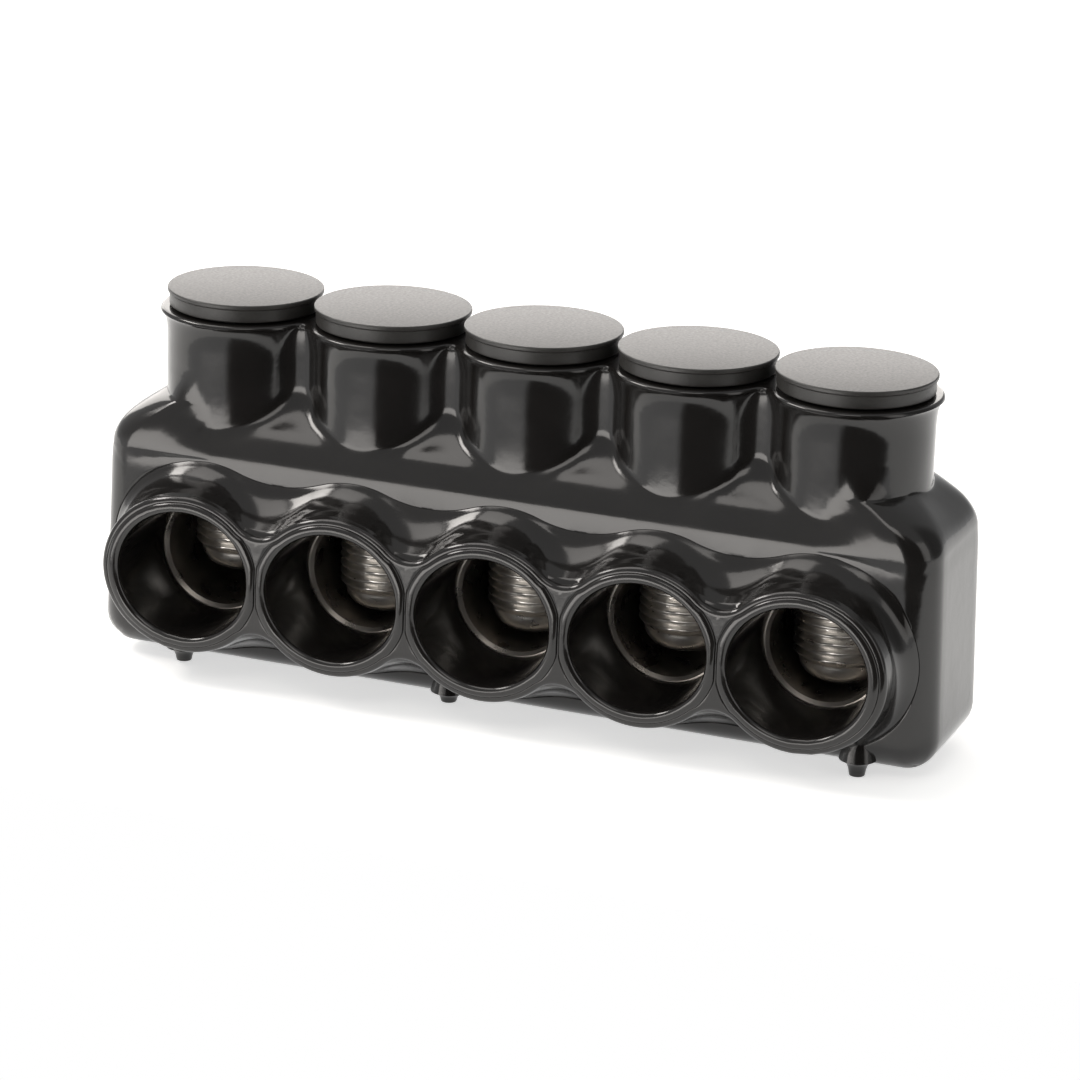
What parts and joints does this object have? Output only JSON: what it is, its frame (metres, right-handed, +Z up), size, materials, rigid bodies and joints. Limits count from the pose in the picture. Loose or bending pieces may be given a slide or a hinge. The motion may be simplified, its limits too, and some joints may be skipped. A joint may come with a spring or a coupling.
{
  "type": "insulated multi-port tap connector",
  "caption": "Metal bus block in a moulded black jacket, with a row of wire collars in front and plugged screw chimneys on top.",
  "frame": {"origin": "on the flat underside of the jacket, below the screw axis of the middle port", "axes": "+X along the row of ports, -Y out of the wire mouths, +Z up the screw chimneys"},
  "size_m": [0.143, 0.0378, 0.0613],
  "materials": {
    "jacket_vinyl": "glossy dip-moulded black vinyl",
    "block_aluminium": "machined, warm grey",
    "screw_metal": "turned and threaded, bright",
    "plug_plastic": "fine matte grain, which looks grey where light grazes it"
  },
  "bodies": {
    "connector": {"insulating_jacket": "jacket_vinyl", "bus_block": "block_aluminium"},
    "screw_1": {"set_screw_1": "screw_metal"},
    "screw_2": {"set_screw_2": "screw_metal"},
    "screw_3": {"set_screw_3": "screw_metal"},
    "screw_4": {"set_screw_4": "screw_metal"},
    "screw_5": {"set_screw_5": "screw_metal"},
    "plug_1": {"access_plug_1": "plug_plastic"},
    "plug_2": {"access_plug_2": "plug_plastic"},
    "plug_3": {"access_plug_3": "plug_plastic"},
    "plug_4": {"access_plug_4": "plug_plastic"},
    "plug_5": {"access_plug_5": "plug_plastic"}
  },
  "joints": [
    {"name": "screw_1_travel", "type": "slide", "parent": "connector", "child": "screw_1", "axis": [0, 0, 1], "range_m": [-0.0032, 0.0138]},
    {"name": "screw_2_travel", "type": "slide", "parent": "connector", "child": "screw_2", "axis": [0, 0, 1], "range_m": [0, 0.017]},
    {"name": "screw_3_travel", "type": "slide", "parent": "connector", "child": "screw_3", "axis": [0, 0, 1], "range_m": [-0.0005, 0.0165]},
    {"name": "screw_4_travel", "type": "slide", "parent": "connector", "child": "screw_4", "axis": [0, 0, 1], "range_m": [-0.0014, 0.0156]},
    {"name": "screw_5_travel", "type": "slide", "parent": "connector", "child": "screw_5", "axis": [0, 0, 1], "range_m": [-0.0002, 0.0168]},
    {"name": "plug_1_lift", "type": "slide", "parent": "connector", "child": "plug_1", "axis": [0, 0, 1], "range_m": [0, 0.02]},
    {"name": "plug_2_lift", "type": "slide", "parent": "connector", "child": "plug_2", "axis": [0, 0, 1], "range_m": [0, 0.02]},
    {"name": "plug_3_lift", "type": "slide", "parent": "connector", "child": "plug_3", "axis": [0, 0, 1], "range_m": [0, 0.02]},
    {"name": "plug_4_lift", "type": "slide", "parent": "connector", "child": "plug_4", "axis": [0, 0, 1], "range_m": [0, 0.02]},
    {"name": "plug_5_lift", "type": "slide", "parent": "connector", "child": "plug_5", "axis": [0, 0, 1], "range_m": [0, 0.02]}
  ]
}
